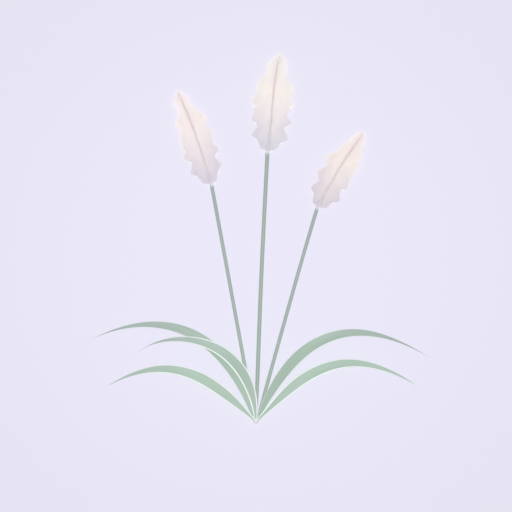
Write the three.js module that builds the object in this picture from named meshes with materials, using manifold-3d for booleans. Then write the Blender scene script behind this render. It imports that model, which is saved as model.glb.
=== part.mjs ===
// A cut tuft of silver grass, lying on a flat surface.
// Millimetres. +Y runs from the cut base to the plumes, +Z is up off the surface.
// Three stems carry one plume each, and five leaves arch away on both sides.
// Every route starts at the crown: its points are [x, y, z] from the middle of the cut end.

import * as THREE from 'three';
import { mergeVertices } from 'three/addons/utils/BufferGeometryUtils.js';
import Module from 'manifold-3d';

const wasm = await Module();
wasm.setup();

// Whole tuft: what brings the middle of its outline to the origin, the clearance at every seat, and the
// size below which the slivers that a cut leaves are smoothed away
const tuftShift = [-6.5, -294.5, 0];
const seatGap = 0.3;
const sliverSize = 0.04;

// Crown: the sheathed base, by its ends, its half sizes at the widest place, its middle height and ridges
const crownStart = -2;
const crownEnd = 12;
const crownHalfWidth = 5.6;
const crownHalfHeight = 10.4;
const crownMiddle = 8;
const crownCutShare = 0.4;
const crownTaper = { start: 0.02, run: 0.8 };
const crownRidge = 0.04;
const crownRidges = 6;
const crownSteps = 8;

// Leaves: full width at the widest place, thickness at the midrib, and how far each half is folded up
const leafThickness = 1.4;
const leafFold = 0.1;
const leafShape = { bellyPower: 0.64, footShare: 0.15, footPower: 8, tipShare: 0.05 };
const leafSides = 6;
const leafSteps = 26;

const leafSpecs = [
  {
    name: 'leaf_upper_left',
    colour: '#b2c5bd',
    width: 18.5,
    roll: -0.16,
    route: [[-2.4, 3, 11.9], [-31, 120, 46], [-128, 198, 56], [-262, 133, 1]],
  },
  {
    name: 'leaf_inner_left',
    colour: '#b3c6bb',
    width: 18.5,
    roll: -0.14,
    route: [[-0.2, 3, 16.4], [-3, 138, 74], [-130, 154, 62], [-186, 114, 1]],
  },
  {
    name: 'leaf_low_left',
    colour: '#b9cfc1',
    width: 17.5,
    roll: -0.12,
    route: [[-2.4, 2.5, 14.3], [-79, 80, 46], [-142, 115, 40], [-237, 58, 1]],
  },
  {
    name: 'leaf_upper_right',
    colour: '#acbfb1',
    width: 18.5,
    roll: 0.16,
    route: [[2.4, 3, 11.9], [53, 128, 46], [139, 189, 58], [275, 103, 1]],
  },
  {
    name: 'leaf_low_right',
    colour: '#b9cfc1',
    width: 17.5,
    roll: 0.12,
    route: [[2.4, 2.5, 14.3], [59, 63, 44], [129, 143, 42], [259, 55, 1]],
  },
];

// Stems: radius in the crown, the share of the length in which a stem swells, and radius above that
const culmSides = 8;
const culmSteps = 14;
const culmRootRadius = 1.9;
const culmSwellShare = 0.16;

const culmSpecs = [
  {
    name: 'culm_left',
    radius: 2.8,
    route: [[-2.4, 4, 3.6], [-21, 107, 3.2], [-53, 283, 8], [-70.9, 378.4, 12]],
  },
  {
    name: 'culm_middle',
    radius: 3.2,
    route: [[0, 4, 8.2], [7.5, 220, 6], [9, 243, 10], [18.9, 430.4, 12]],
  },
  {
    name: 'culm_right',
    radius: 2.8,
    route: [[2.4, 4, 3.6], [30, 105, 3.2], [72, 263, 8], [96.8, 341.4, 12]],
  },
];

// Ribs: radius where a rib leaves its stem and at its end, and the length of plume that stands past it
const ribBaseRadius = 1.7;
const ribEndRadius = 0.8;
const ribSides = 6;
const ribSteps = 12;
const plumePastRib = 12;

// Plumes: [place along the rib, reach from it] of every tooth of the outline, on both sides
const plumeSpecs = [
  {
    name: 'left',
    rib: [[-71, 379, 12], [-95, 456, 24], [-93, 455, 24], [-126, 531, 6]],
    leftTeeth: [[26, 28], [55, 28], [83, 31], [109, 26], [140, 16]],
    rightTeeth: [[27, 27], [51, 29], [77, 32], [102, 27], [132, 17]],
  },
  {
    name: 'middle',
    rib: [[19, 431, 12], [28, 510, 26], [27, 552, 24], [40, 591, 6]],
    leftTeeth: [[25, 28], [52, 31], [78, 37], [104, 32], [126, 19], [147, 14]],
    rightTeeth: [[26, 29], [51, 33], [75, 39], [106, 32], [137, 21]],
  },
  {
    name: 'right',
    rib: [[97, 342, 12], [133, 405, 24], [131, 406, 24], [174, 465, 6]],
    leftTeeth: [[23, 28], [54, 31], [81, 31], [109, 21], [127, 13]],
    rightTeeth: [[28, 26], [52, 29], [79, 29], [106, 23], [129, 12]],
  },
];

// Racemes: the spikelet-bearing branches. A raceme leaves the rib below its tooth and sweeps out to it.
// The racemes at the tip give their bend and tip as distances back from the tip, aside, and down or up
const racemeLowestRoot = 5;
const racemeHalfWidth = 5.8;
const racemeWidthShare = 0.22;
const racemeHalfHeight = 2.6;
const racemeRootAside = 2.8;
const racemeTipRadius = 0.5;
const racemeSides = 4;
const racemeTaper = { start: 0.16, run: 0.8, power: 0.7 };
const racemeBend = { along: 0.4, across: 0.6, rise: 2.5 };
const spikeletSway = 0.28;
const spikeletNeck = 0.66;
const fewestSpikelets = 3;
const upperRacemes = { sweepLength: 30, tipHeight: 5, rootDrop: 1.5, spikeletLength: 9 };
const notchRacemes = { sweepLength: 30, tipHeight: 8, rootDrop: 1, spikeletLength: 9 };
const lowerRacemes = { sweepLength: 22, tipHeight: 2.4, rootDrop: 9, spikeletLength: 14 };
const tipRacemes = { length: 44, halfWidth: 3.4, rootDrop: 4, bend: [20, 7, 2], tip: [9, 5, 3] };

// Outline between the teeth: depth of a notch, least reach, reach at both ends, and a tooth's shoulders
const notchDepth = 8;
const leastReach = 4;
const plumeEndReaches = [10, 6];
const shoulderAlong = 7;
const shoulderBack = 5;

// Core: the dense middle of a plume, as a share of its reach, which the racemes stand out of. Its lower
// half would reach below the surface by the share past 1, and is flat where it meets the surface
const coreShare = 0.52;
const coreBelowShare = 1.5;
const coreSides = 8;
const coreSteps = 10;

// Colours that the nodes share
const culmColour = '#a8b8b2';
const ribColour = '#d2c6ca';
const plumeColour = '#e9e0e1';
const crownColour = '#b6c8bb';

const up = new THREE.Vector3(0, 0, 1);

function routeThrough(points) {
  return new THREE.CubicBezierCurve3(...points.map((point) => new THREE.Vector3(...point)));
}

// The direction across a route, level with the surface
function acrossRoute(route, along) {
  return new THREE.Vector3().crossVectors(route.getTangentAt(along), up).normalize();
}

// A round bar of unit radius, bent along a route. sectionAt gives each point's offset across and above it
function sweep(route, sides, steps, sectionAt) {
  const bar = new THREE.CylinderGeometry(1, 1, 1, sides, steps);
  const places = bar.attributes.position;
  for (let i = 0; i < places.count; i += 1) {
    const along = THREE.MathUtils.clamp(places.getY(i) + 0.5, 0, 1);
    const side = acrossRoute(route, along);
    const lift = new THREE.Vector3().crossVectors(side, route.getTangentAt(along));
    const [across, above] = sectionAt(along, places.getX(i), places.getZ(i));
    const place = route.getPointAt(along).addScaledVector(side, across).addScaledVector(lift, above);
    places.setXYZ(i, place.x, place.y, Math.max(place.z, 0));
  }
  return bar;
}

function toSolid(geometry) {
  geometry.deleteAttribute('normal');
  geometry.deleteAttribute('uv');
  const merged = mergeVertices(geometry, 1e-4);
  return new wasm.Manifold(new wasm.Mesh({
    numProp: 3,
    vertProperties: merged.attributes.position.array,
    triVerts: new Uint32Array(merged.index.array),
  }));
}

function toGeometry(solid) {
  const { vertProperties, triVerts } = solid.getMesh();
  const geometry = new THREE.BufferGeometry();
  geometry.setAttribute('position', new THREE.BufferAttribute(vertProperties, 3));
  geometry.setIndex(new THREE.BufferAttribute(triVerts, 1));
  geometry.computeVertexNormals();
  return geometry;
}

function fuse(solids) {
  return solids.reduce((whole, solid) => whole.add(solid));
}

// Keeps the body of a joined solid and drops the scraps that a cut leaves loose
function largestBody(solid) {
  const bodies = solid.decompose();
  return bodies.reduce((largest, body) => (body.volume() > largest.volume() ? body : largest));
}

// Share of the full width along a leaf: a narrow foot, the widest place before the middle, a long tip
function leafShare(along) {
  const belly = Math.sin(Math.PI * along ** leafShape.bellyPower);
  const foot = leafShape.footShare * (1 - along) ** leafShape.footPower;
  return THREE.MathUtils.lerp(leafShape.tipShare, 1, belly) + foot;
}

function leafSolid({ width, roll, route }, gap = 0) {
  const edge = Math.sin((2 * Math.PI) / leafSides);
  return toSolid(sweep(routeThrough(route), leafSides, leafSteps, (along, x, z) => {
    const across = (x / edge) * (0.5 * width * leafShare(along) + gap);
    const tilt = roll * Math.sin(Math.PI * along) * across;
    const fold = leafFold * Math.abs(across) * Math.sin(Math.PI * along);
    return [across, z * (0.5 * leafThickness + 2 * gap) + tilt + fold];
  }));
}

function culmSolid({ radius, route }, gap = 0) {
  return toSolid(sweep(routeThrough(route), culmSides, culmSteps, (along, x, z) => {
    const swell = Math.min(1, along / culmSwellShare);
    const thick = THREE.MathUtils.lerp(culmRootRadius, radius, swell) + gap;
    return [x * thick, z * thick];
  }));
}

// The part of a plume's rib that shows: it stops short of the plume's tip
function ribSolid(route, gap = 0) {
  const share = 1 - plumePastRib / route.getLength();
  const shown = new THREE.CatmullRomCurve3(
    Array.from({ length: ribSteps + 1 }, (_, i) => route.getPointAt((share * i) / ribSteps)),
  );
  return toSolid(sweep(shown, ribSides, ribSteps, (along, x, z) => {
    const thick = THREE.MathUtils.lerp(ribBaseRadius, ribEndRadius, along) + gap;
    return [x * thick, z * thick];
  }));
}

// One raceme: a branch with a spikelet on each side in turn, narrow between them
function racemeSolid(route, halfWidth, spikeletLength) {
  const spikelets = Math.max(fewestSpikelets, Math.round(route.getLength() / spikeletLength));
  return toSolid(sweep(route, racemeSides, 2 * spikelets, (along, x, z) => {
    const station = Math.round(along * 2 * spikelets);
    const atSpikelet = station % 2 === 1;
    const swell = atSpikelet ? 1 : spikeletNeck;
    const taper = Math.sin(Math.PI * (racemeTaper.start + racemeTaper.run * along)) ** racemeTaper.power;
    const sway = atSpikelet ? spikeletSway * (station % 4 === 1 ? 1 : -1) : 0;
    const thick = (size) => racemeTipRadius + (size - racemeTipRadius) * swell * taper;
    return [(x + sway * taper) * thick(halfWidth), z * thick(racemeHalfHeight)];
  }));
}

// A place beside the rib, by how far along it and across it lies, at its own height
function besideRib(route, along, across, height) {
  const share = THREE.MathUtils.clamp(along / route.getLength(), 0, 1);
  const place = route.getPointAt(share).addScaledVector(acrossRoute(route, share), across);
  return new THREE.Vector3(place.x, place.y, height);
}

function ribHeight(route, along) {
  return route.getPointAt(THREE.MathUtils.clamp(along / route.getLength(), 0, 1)).z;
}

// A raceme from the rib out to a tip. rootDrop is how far below the rib it springs
function racemeTo(route, [tipAlong, tipReach], side, { sweepLength, tipHeight, rootDrop, spikeletLength }) {
  const root = Math.max(racemeLowestRoot, tipAlong - sweepLength);
  const bend = THREE.MathUtils.lerp(root, tipAlong, racemeBend.along);
  const rootHeight = ribHeight(route, root) - rootDrop;
  const path = new THREE.QuadraticBezierCurve3(
    besideRib(route, root, side * racemeRootAside, rootHeight),
    besideRib(route, bend, side * racemeBend.across * tipReach, rootHeight + racemeBend.rise),
    besideRib(route, tipAlong, side * tipReach, tipHeight),
  );
  return racemeSolid(path, Math.min(racemeHalfWidth, racemeWidthShare * tipReach), spikeletLength);
}

// The racemes that close the tip of a plume: one on the middle line and one a little shorter on each side
function racemesAtTip(route, length) {
  const { rootDrop, halfWidth, bend: [bendBack, bendAside, bendDrop] } = tipRacemes;
  const [tipBack, tipAside, tipHeight] = tipRacemes.tip;
  const root = length - tipRacemes.length;
  const bend = length - bendBack;
  return [-1, 0, 1].map((side) => racemeSolid(new THREE.QuadraticBezierCurve3(
    besideRib(route, root, side * racemeRootAside, ribHeight(route, root) - rootDrop),
    besideRib(route, bend, side * bendAside, ribHeight(route, bend) - bendDrop),
    besideRib(route, length - tipBack * Math.abs(side), side * tipAside, tipHeight),
  ), halfWidth, upperRacemes.spikeletLength));
}

// The tips between the teeth, one past each tooth, at the depth of the notch
function notchTips(teeth, plumeLength) {
  return teeth.map(([along, reach], i) => {
    const [nextAlong, nextReach] = teeth[i + 1] ?? [plumeLength, plumeEndReaches[1]];
    return [0.5 * (along + nextAlong), Math.max(leastReach, 0.5 * (reach + nextReach) - notchDepth)];
  });
}

// How far a plume reaches from its rib at a place along it, on straight lines from tooth to tooth
function reachAt(teeth, along, plumeLength) {
  const corners = [[0, plumeEndReaches[0]], ...teeth, [plumeLength, plumeEndReaches[1]]];
  const next = Math.max(1, corners.findIndex(([place]) => place >= along));
  const [fromAlong, fromReach] = corners[next - 1];
  const [toAlong, toReach] = corners[next];
  return THREE.MathUtils.mapLinear(along, fromAlong, toAlong, fromReach, toReach);
}

// The core lies on the surface with a flat underside and carries the rib on its crest
function coreSolid(route, length, leftTeeth, rightTeeth) {
  const coreEnds = [racemeLowestRoot, length - 2 * racemeLowestRoot];
  const middleLine = new THREE.CatmullRomCurve3(
    Array.from({ length: coreSteps + 1 }, (_, i) => {
      const along = THREE.MathUtils.lerp(...coreEnds, i / coreSteps);
      return besideRib(route, along, 0, 0.5 * ribHeight(route, along));
    }),
  );
  return toSolid(sweep(middleLine, coreSides, coreSteps, (along, x, z) => {
    const place = THREE.MathUtils.lerp(...coreEnds, along);
    const reach = reachAt(x < 0 ? leftTeeth : rightTeeth, place, length);
    const high = 0.5 * ribHeight(route, place) * (z < 0 ? coreBelowShare : 1);
    return [x * coreShare * reach, z * high];
  }));
}

function plumeSolid({ rib, leftTeeth, rightTeeth }) {
  const route = routeThrough(rib);
  const length = route.getLength();
  const racemes = [[leftTeeth, -1], [rightTeeth, 1]].flatMap(([teeth, side]) => [
    ...teeth.map((tip) => racemeTo(route, tip, side, upperRacemes)),
    ...notchTips(teeth, length).map((tip) => racemeTo(route, tip, side, notchRacemes)),
    ...teeth.flatMap(([along, reach]) => [-shoulderAlong, shoulderAlong].map(
      (shift) => racemeTo(route, [along + shift, reach - shoulderBack], side, lowerRacemes),
    )),
  ]);
  const core = coreSolid(route, length, leftTeeth, rightTeeth);
  const whole = fuse([core, ...racemes, ...racemesAtTip(route, length)]);
  return largestBody(whole.subtract(ribSolid(route, seatGap)).simplify(sliverSize));
}

// The crown closes round the feet of all stems and leaves, which sit in it with a small clearance
function crownSolid() {
  const axis = new THREE.LineCurve3(
    new THREE.Vector3(0, crownStart, crownMiddle),
    new THREE.Vector3(0, crownEnd, crownMiddle),
  );
  const bud = toSolid(sweep(axis, 2 * crownRidges, crownSteps, (along, x, z) => {
    const belly = Math.sin(Math.PI * (crownTaper.start + crownTaper.run * along));
    const ridge = 1 + crownRidge * Math.cos(crownRidges * Math.atan2(x, z));
    const share = ridge * THREE.MathUtils.lerp(crownCutShare, 1, belly);
    return [x * crownHalfWidth * share, z * crownHalfHeight * share];
  }));
  const feet = [
    ...culmSpecs.map((spec) => culmSolid(spec, seatGap)),
    ...leafSpecs.map((spec) => leafSolid(spec, seatGap)),
  ];
  return largestBody(bud.subtract(fuse(feet)).simplify(sliverSize));
}

const tuft = new THREE.Group();
tuft.position.set(...tuftShift);

function place(name, solid, colour, roughness) {
  const material = new THREE.MeshStandardMaterial({ color: colour, roughness, metalness: 0 });
  const mesh = new THREE.Mesh(toGeometry(solid), material);
  mesh.name = name;
  tuft.add(mesh);
}

place('crown', crownSolid(), crownColour, 0.7);
culmSpecs.forEach((spec) => place(spec.name, culmSolid(spec), culmColour, 0.55));
leafSpecs.forEach((spec) => place(spec.name, leafSolid(spec), spec.colour, 0.55));
plumeSpecs.forEach((spec) => {
  place(`rachis_${spec.name}`, ribSolid(routeThrough(spec.rib)), ribColour, 0.7);
  place(`plume_${spec.name}`, plumeSolid(spec), plumeColour, 0.9);
});

export default tuft;
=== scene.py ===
import math

import bpy
import numpy as np
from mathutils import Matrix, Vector


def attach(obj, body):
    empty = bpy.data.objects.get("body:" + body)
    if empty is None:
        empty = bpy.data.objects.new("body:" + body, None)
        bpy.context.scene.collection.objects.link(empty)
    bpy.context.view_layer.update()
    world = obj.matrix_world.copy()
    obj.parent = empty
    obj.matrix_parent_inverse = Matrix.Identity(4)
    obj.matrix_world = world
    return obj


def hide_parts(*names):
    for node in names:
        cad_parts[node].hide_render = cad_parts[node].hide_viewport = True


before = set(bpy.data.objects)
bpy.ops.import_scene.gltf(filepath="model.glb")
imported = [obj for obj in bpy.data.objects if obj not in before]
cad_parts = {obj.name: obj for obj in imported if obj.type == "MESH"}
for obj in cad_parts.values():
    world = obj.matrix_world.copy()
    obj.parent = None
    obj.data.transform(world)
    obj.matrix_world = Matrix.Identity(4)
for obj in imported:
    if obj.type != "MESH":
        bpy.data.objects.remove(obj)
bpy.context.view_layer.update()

# A cut tuft of silver grass that lies on a pale floor, in metres, seen from straight above.
# Routes repeat the frame's own: each point is (x, y, z) from the middle of the cut end.

tuftShift = np.array([-0.0065, -0.2945, 0.0])  # from the middle of the cut end to the frame's origin
upward = np.array([0.0, 0.0, 1.0])
millimetre = 0.001

lightSettings = {
    "floorColour": (233, 230, 245),  # the floor's look, and the sky's past its end
    "floorShare": 0.66,  # how much of its light the floor sends back
    "skyShare": 0.18,  # how much of all light comes evenly from the sky
    "fillShare": 0.34,  # how much comes from above without shadows, to keep them pale
    "softboxSize": 0.25,  # the rest comes from a round softbox at the camera, this wide
    "sideLights": 6,  # low lights all round, which only the plumes and ribs take
    "sideShare": 0.14,
    "sideHeight": 6,  # degrees above the floor
    "sideSpread": 30,  # degrees
}
palestPaint = 0.97
curveSteps = 601
lowestPlace = 0.0002  # how far a plume's places and needles stay above the floor
lowestNeedle = 0.0001


# Colours are written as they look on screen, 0 to 255
def screenToLinear(colour):
    parts = np.array(colour, float) / 255
    return np.where(parts <= 0.04045, parts / 12.92, ((parts + 0.055) / 1.055) ** 2.4)


# How bright a level white sheet looks in this light, for each of red, green and blue
whiteLevel = screenToLinear(lightSettings["floorColour"]) / lightSettings["floorShare"]


# The paint that looks like this colour once it lies in this light. Pieces that shade themselves, such as
# a pile of hairs, have a gain of their own
def paintFor(colour, gain=1.0):
    return (*np.clip(screenToLinear(colour) / whiteLevel * gain, 0, palestPaint), 1.0)


def shaded(colour, share):
    return tuple(min(255, part * share) for part in colour)


# Forward, side and upper directions of unit length, from lines that lead forward
def directionsOf(lines):
    forward = lines / np.linalg.norm(lines, axis=-1, keepdims=True)
    side = np.cross(forward, upward)
    side = side / np.linalg.norm(side, axis=-1, keepdims=True)
    return forward, side, np.cross(side, forward)


# Places and directions at shares of a curve's length, on a route of four points, and that length
def alongRoute(points, shares):
    first, second, third, last = np.array(points, float) + tuftShift

    def placeAt(t):
        begun = (1 - t) ** 3 * first + 3 * (1 - t) ** 2 * t * second
        return begun + 3 * (1 - t) * t ** 2 * third + t ** 3 * last

    steps = np.linspace(0, 1, curveSteps)[:, None]
    lengths = np.cumsum(np.linalg.norm(np.diff(placeAt(steps), axis=0), axis=1))
    lengths = np.concatenate(([0], lengths))
    t = np.interp(shares * lengths[-1], lengths, steps[:, 0])[:, None]
    ahead = (1 - t) ** 2 * (second - first) + 2 * (1 - t) * t * (third - second) + t ** 2 * (last - third)
    return (placeAt(t), *directionsOf(ahead), lengths[-1])


# Turns round a bar from its crest, in radians
def turnsRound(sides):
    return np.linspace(0, 2 * math.pi, sides, endpoint=False)


# A round bar in rings, from the places and directions of its course and its radius at every point
def roundBar(places, side, lift, turns, radius):
    around = np.sin(turns)[:, None] * side[:, None] + np.cos(turns)[:, None] * lift[:, None]
    return places[:, None] + radius[..., None] * around


# How far along a round bar its points lie, and how far up round it, both from 0 to 1
def barMarks(run, turns):
    return {"along": np.repeat(run, len(turns)), "turn": np.tile(np.abs(turns / math.pi - 1), len(run))}


# Faces of a bar: rings of points joined in quads, closed by a fan at both ends
def barFaces(rings, sides, start=0):
    last = start + (rings - 1) * sides
    faces = []
    for ring in range(start, last, sides):
        for k in range(sides):
            a, b = ring + k, ring + (k + 1) % sides
            faces.append((a, b, b + sides, a + sides))
    faces.append(tuple(range(start + sides - 1, start - 1, -1)))
    faces.append(tuple(range(last, last + sides)))
    return faces


# One mesh object, with a number for every point under each name in marks. Its first faces, as many as
# flatFaces says, are shaded flat
def addPiece(name, places, faces, material, marks, flatFaces=0):
    mesh = bpy.data.meshes.new(name)
    mesh.from_pydata(np.asarray(places, float).tolist(), [], faces)
    for mark, values in marks.items():
        layer = mesh.attributes.new(name=mark, type="FLOAT", domain="POINT")
        layer.data.foreach_set("value", np.asarray(values, np.float32))
    mesh.materials.append(material)
    mesh.polygons.foreach_set("use_smooth", np.arange(len(faces)) >= flatFaces)
    piece = bpy.data.objects.new(name, mesh)
    bpy.context.scene.collection.objects.link(piece)
    return piece


def addBar(name, rings, material, marks):
    return addPiece(name, rings.reshape(-1, 3), barFaces(*rings.shape[:2]), material, marks)


def hangOn(piece, node):
    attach(piece, "root")
    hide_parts(node)


# A node whose sockets take values of their own or other nodes' outputs
def addNode(tree, kind, sockets, **values):
    node = tree.nodes.new("ShaderNode" + kind)
    for key, value in values.items():
        setattr(node, key, value)
    for key, value in sockets.items():
        if isinstance(value, bpy.types.NodeSocket):
            tree.links.new(value, node.inputs[key])
        else:
            node.inputs[key].default_value = value
    return node


# A material for one of the finishes. A look gives its gloss and, where it has fine lines, their scales
# across and along the piece, how much they show, and how strong and deep they are as relief
class Finish:
    def __init__(self, name, look):
        self.look = look
        self.material = bpy.data.materials.new(name)
        self.material.use_nodes = True
        self.tree = self.material.node_tree
        self.shader = self.tree.nodes["Principled BSDF"]
        self.shader.inputs["Roughness"].default_value = look["roughness"]
        self.shader.inputs["Specular IOR Level"].default_value = look["specular"]

    def mark(self, name):
        return addNode(self.tree, "Attribute", {}, attribute_name=name).outputs["Fac"]

    # A band of paints read at a number from 0 to 1
    def ramp(self, factor, stops):
        ramp = addNode(self.tree, "ValToRGB", {"Fac": factor})
        points = ramp.color_ramp.elements
        while len(points) < len(stops):
            points.new(0.5)
        for point, (place, paint) in zip(points, stops):
            point.position = place
            point.color = paint
        return ramp.outputs["Color"]

    # The same for colours as they look on screen
    def band(self, factor, stops, gain=1.0):
        return self.ramp(factor, [(place, paintFor(colour, gain)) for place, colour in stops])

    def mixed(self, factor, first, second, blend="MIX"):
        sockets = {"Factor": factor, "A": first, "B": second}
        return addNode(self.tree, "Mix", sockets, data_type="RGBA", blend_type=blend).outputs["Result"]

    # A number stretched from one range to another and kept inside it
    def ranged(self, value, start, end, low=0.0, high=1.0):
        sockets = {"Value": value, "From Min": start, "From Max": end, "To Min": low, "To Max": high}
        return addNode(self.tree, "MapRange", sockets, interpolation_type="SMOOTHSTEP").outputs["Result"]

    # Fine lines that run with a piece, in its colour and its relief: waves read at two of its marks
    def lined(self, base, darker, across, along):
        place = addNode(self.tree, "CombineXYZ", {"X": across, "Y": along}).outputs[0]
        scales = (*self.look["lineScales"], 1)
        place = addNode(self.tree, "Mapping", {"Vector": place, "Scale": scales}).outputs[0]
        waves = addNode(self.tree, "TexNoise", {"Vector": place, "Scale": 1.0, "Detail": 3.0}).outputs["Fac"]
        strength, depth = self.look["relief"]
        relief = addNode(self.tree, "Bump", {"Height": waves, "Strength": strength, "Distance": depth})
        self.tree.links.new(relief.outputs["Normal"], self.shader.inputs["Normal"])
        return self.mixed(self.ranged(waves, 0.35, 0.75, 0.0, self.look["lineShare"]), base, darker)

    def colour(self, output):
        self.tree.links.new(output, self.shader.inputs["Base Color"])


# A finish of colours along a piece, with darker lines
def barFinish(name, settings):
    finish = Finish(name, settings["look"])
    along, turn = finish.mark("along"), finish.mark("turn")
    base = finish.band(along, settings["colours"], settings["gain"])
    finish.colour(finish.lined(base, paintFor(settings["darker"], settings["gain"]), turn, along))
    return finish.material


# Camera: far off and through a long lens, so that raised leaves keep their places in the picture
cameraSettings = {
    "target": (-0.0065, -0.0289, 0.0),
    "fieldWidth": 0.8192,
    "lens": 300,
    "sensor": 36,
    "clip": (0.05, 200),  # the nearest and the furthest that it sees
}
cameraHeight = cameraSettings["fieldWidth"] * cameraSettings["lens"] / cameraSettings["sensor"]


def placeCamera(settings):
    data = bpy.data.cameras.new("camera")
    data.lens = settings["lens"]
    data.sensor_width = settings["sensor"]
    data.clip_start, data.clip_end = settings["clip"]
    camera = bpy.data.objects.new("camera", data)
    camera.location = Vector(settings["target"]) + Vector((0, 0, cameraHeight))
    bpy.context.scene.collection.objects.link(camera)
    bpy.context.scene.camera = camera


# Floor: a wide round sheet with a painted pool of light, a little paler in the middle. Further out its paint
# makes up for the softbox's weaker light, so that it looks the same as far as it goes, and then meets the
# sky's own colour
floorSettings = {
    "radius": 3.2,
    # painted pool of light: the middle colour is paler than the edge colour, as if more light fell there
    "middle": (235, 232, 249),
    "edge": (231, 228, 243),
    "paintedPoolFrom": 0.1,
    "paintedPoolRadius": 0.60,
    "farGain": 1.033,  # how much paler its paint is at its far end, as the sky is
    "thickness": 0.0002,
    "rimShare": 1.01,  # the rim slopes out this far, so that it is lit as the floor is
    "sides": 96,
    "rings": 14,
    "look": {"roughness": 1.0, "specular": 0.0},
}


# The light that reaches the floor this far from its middle, as a share of what the middle gets
def lightAt(distance):
    weaker = (cameraHeight ** 2 / (cameraHeight ** 2 + distance ** 2)) ** 2
    even = lightSettings["skyShare"] + lightSettings["fillShare"]
    return even + (1 - even) * weaker


def layFloor(settings):
    turns = turnsRound(settings["sides"])
    ring = np.stack([np.cos(turns), np.sin(turns), np.zeros(len(turns))], 1) * settings["radius"]
    rim = ring * settings["rimShare"] - [0, 0, settings["thickness"]]
    finish = Finish("floor_paper", settings["look"])
    place = addNode(finish.tree, "TexCoord", {}).outputs["Object"]
    distance = addNode(finish.tree, "VectorMath", {0: place}, operation="LENGTH").outputs["Value"]
    # painted pool of light: the paint fades from the paler middle to the edge colour with distance from the
    # middle
    edge = finish.ranged(distance, settings["paintedPoolFrom"], settings["paintedPoolRadius"])
    most = settings["farGain"] * lightAt(settings["paintedPoolRadius"]) / lightAt(settings["radius"])
    colour = finish.mixed(edge, paintFor(settings["middle"], most), paintFor(settings["edge"], most))
    share = addNode(finish.tree, "Math", {0: distance, 1: settings["radius"]}, operation="DIVIDE").outputs[0]
    stops = []
    for run in np.linspace(0, 1, settings["rings"]):
        reach = settings["paintedPoolRadius"] + (settings["radius"] - settings["paintedPoolRadius"]) * run
        level = settings["farGain"] ** (run - 1) * lightAt(settings["radius"]) / lightAt(reach)
        stops.append((reach / settings["radius"], (level, level, level, 1.0)))
    finish.colour(finish.mixed(1.0, colour, finish.ramp(share, stops), "MULTIPLY"))
    faces = barFaces(2, len(turns))
    floor = addPiece("floor", np.concatenate([rim, ring]), faces, finish.material, {}, len(faces))
    floor.location = (*cameraSettings["target"][:2], 0)


# The sky's own colour shows only where a camera looks past the floor
def lightSky(settings):
    world = bpy.data.worlds.new("studio")
    world.use_nodes = True
    tree = world.node_tree
    seen = tree.nodes["Background"]
    seen.inputs["Color"].default_value = (*screenToLinear(settings["floorColour"]), 1.0)
    given = addNode(tree, "Background", {"Color": (*whiteLevel, 1.0), "Strength": settings["skyShare"]})
    fromCamera = addNode(tree, "LightPath", {}).outputs["Is Camera Ray"]
    choice = addNode(tree, "MixShader", {0: fromCamera, 1: given.outputs[0], 2: seen.outputs[0]})
    tree.links.new(choice.outputs["Shader"], tree.nodes["World Output"].inputs["Surface"])
    bpy.context.scene.world = world


# A lamp from its power in red, green and blue
def addLamp(name, kind, power):
    data = bpy.data.lights.new(name, kind)
    data.energy = float(power.max())
    data.color = tuple(power / power.max())
    lamp = bpy.data.objects.new(name, data)
    bpy.context.scene.collection.objects.link(lamp)
    return lamp


# Silky hairs glow from every side, so the plumes and ribs alone also take light from low all round
def lightScene(settings, silkyPieces):
    lightSky(settings)
    place = bpy.context.scene.camera.location
    boxShare = 1 - settings["skyShare"] - settings["fillShare"]
    softbox = addLamp("softbox", "AREA", whiteLevel * boxShare * math.pi ** 2 * place.z ** 2)
    softbox.data.shape = "DISK"
    softbox.data.size = settings["softboxSize"]
    softbox.location = place
    softbox.visible_camera = False
    fill = addLamp("fill", "SUN", whiteLevel * settings["fillShare"] * math.pi)
    fill.data.use_shadow = False
    for k in range(settings["sideLights"]):
        side = addLamp("side_" + str(k), "SUN", whiteLevel * settings["sideShare"] * math.pi)
        side.data.angle = math.radians(settings["sideSpread"])
        turn = 2 * math.pi * (k + 0.5) / settings["sideLights"]
        side.rotation_euler = (math.radians(90 - settings["sideHeight"]), 0, turn)
        side.light_linking.receiver_collection = silkyPieces
    bpy.context.scene.view_settings.view_transform = "Standard"


silkyPieces = bpy.data.collections.new("silky_pieces")
placeCamera(cameraSettings)
layFloor(floorSettings)
lightScene(lightSettings, silkyPieces)
print("stage: camera, floor and light")


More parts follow.
